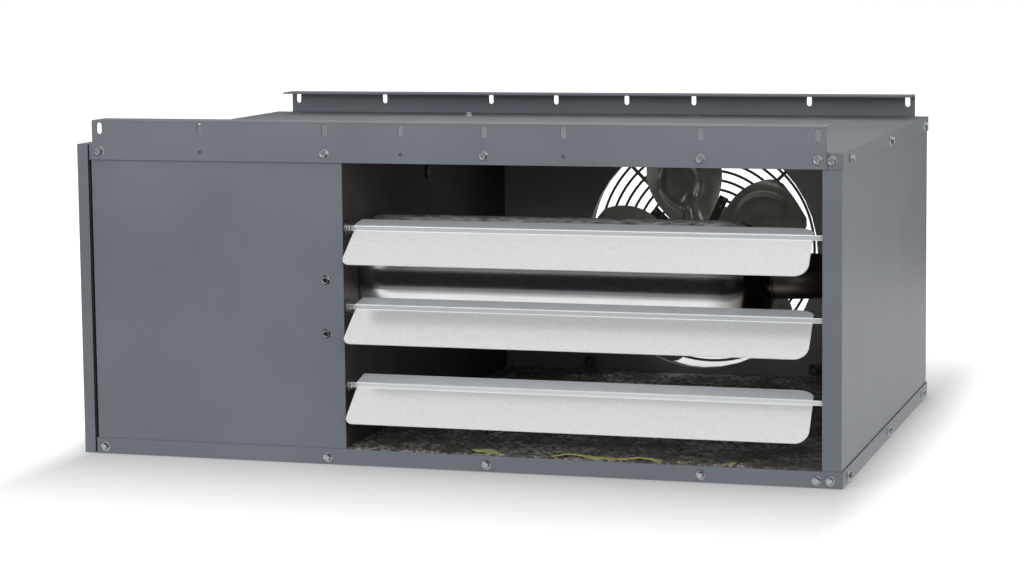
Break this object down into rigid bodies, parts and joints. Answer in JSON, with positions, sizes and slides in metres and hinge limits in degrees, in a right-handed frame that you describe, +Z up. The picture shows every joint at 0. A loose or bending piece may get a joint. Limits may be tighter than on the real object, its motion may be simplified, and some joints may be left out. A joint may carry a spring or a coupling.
{
  "type": "ceiling mounted fan heater",
  "caption": "Low ceiling-hung gas unit heater: sheet-steel case on slotted brackets, rear axial fan, drum heat exchanger and tilting louvers.",
  "frame": {"origin": "middle of the case's base, on its lower face", "axes": "+X to the right and -Y to the front as one looks at the louvers; +Z up"},
  "size_m": [0.8695, 0.7411, 0.377],
  "materials": {
    "paint_panel": "semi-gloss mid blue-grey paint on sheet steel",
    "galvanised": "plain galvanised sheet with a faint roll grain",
    "louver_metal": "bright coated sheet, smooth, slightly blue",
    "aluminised": "smooth aluminised steel, lightly heat tinted",
    "zinc": "bright zinc plating",
    "black_steel": "dark satin enamel",
    "dark_partition": "dark brownish coated sheet",
    "fan_alloy": "light olive-grey pressed aluminium",
    "brass": "turned brass",
    "cast_aluminium": "die-cast aluminium",
    "dark_plastic": "moulded dark plastic",
    "ceramic": "glazed pale ceramic",
    "green_board": "coated circuit board with dark components",
    "foil_blanket": "dark foil-faced fibre blanket",
    "foam": "closed-cell gasket foam",
    "silicone": "soft silicone tube"
  },
  "bodies": {
    "case": {"top_panel": "paint_panel", "bottom_panel": "paint_panel", "right_side_panel": "paint_panel", "front_cover": "paint_panel", "partition_wall": "dark_partition", "fan_panel": "black_steel", "control_rear_panel": "paint_panel", "side_access_door": "paint_panel", "door_gasket": "foam", "front_bracket": "paint_panel", "rear_bracket": "paint_panel", "flange_screw": "zinc", "floor_insulation": "foil_blanket", "roof_insulation": "foil_blanket", "fan_motor": "black_steel", "motor_plate": "zinc", "fan_guard": "black_steel", "guard_bolt_1": "zinc", "guard_nut_1": "zinc", "guard_bolt_2": "zinc", "guard_nut_2": "zinc", "guard_bolt_3": "zinc", "guard_nut_3": "zinc", "guard_bolt_4": "zinc", "guard_nut_4": "zinc", "combustion_drum": "aluminised", "return_tube": "aluminised", "tube_hanger": "galvanised", "burner_tube": "aluminised", "burner_plate": "galvanised", "spark_igniter": "ceramic", "flame_sensor": "ceramic", "gas_manifold": "brass", "manifold_bracket": "galvanised", "gas_valve": "cast_aluminium", "gas_pipe": "black_steel", "inducer_housing": "galvanised", "inducer_motor": "black_steel", "flue_transition": "galvanised", "flue_tube": "galvanised", "flue_collar": "galvanised", "pressure_switch": "dark_plastic", "sensing_hose": "silicone", "board_tray": "dark_plastic", "control_board": "green_board", "transformer": "black_steel", "limit_switch": "ceramic", "junction_box": "galvanised", "cable_bushing": "dark_plastic"},
    "louver_top": {"louver_top": "louver_metal", "louver_spring_top": "zinc"},
    "louver_middle": {"louver_middle": "louver_metal", "louver_spring_middle": "zinc"},
    "louver_bottom": {"louver_bottom": "louver_metal", "louver_spring_bottom": "zinc"},
    "fan_rotor": {"fan_wheel": "fan_alloy", "fan_shaft": "zinc"},
    "inducer_rotor": {"inducer_wheel": "galvanised", "inducer_shaft": "zinc"},
    "valve_knob": {"valve_knob": "dark_plastic"}
  },
  "joints": [
    {"name": "louver_top_tilt", "type": "hinge", "parent": "case", "child": "louver_top", "pos_m": [0.139, -0.291, 0.261], "axis": [1, 0, 0], "range_deg": [-45, 30]},
    {"name": "louver_middle_tilt", "type": "hinge", "parent": "case", "child": "louver_middle", "pos_m": [0.139, -0.291, 0.1745], "axis": [1, 0, 0], "range_deg": [-45, 30]},
    {"name": "louver_bottom_tilt", "type": "hinge", "parent": "case", "child": "louver_bottom", "pos_m": [0.139, -0.291, 0.088], "axis": [1, 0, 0], "range_deg": [-45, 26]},
    {"name": "fan_spin", "type": "hinge", "parent": "case", "child": "fan_rotor", "pos_m": [0.1371, 0.286, 0.175], "axis": [0, 1, 0], "continuous": true},
    {"name": "inducer_spin", "type": "hinge", "parent": "case", "child": "inducer_rotor", "pos_m": [-0.17, -0.071, 0.201], "axis": [1, 0, 0], "continuous": true},
    {"name": "valve_knob_turn", "type": "hinge", "parent": "case", "child": "valve_knob", "pos_m": [-0.337, -0.187, 0.201], "axis": [1, 0, 0], "range_deg": [0, 90]}
  ]
}
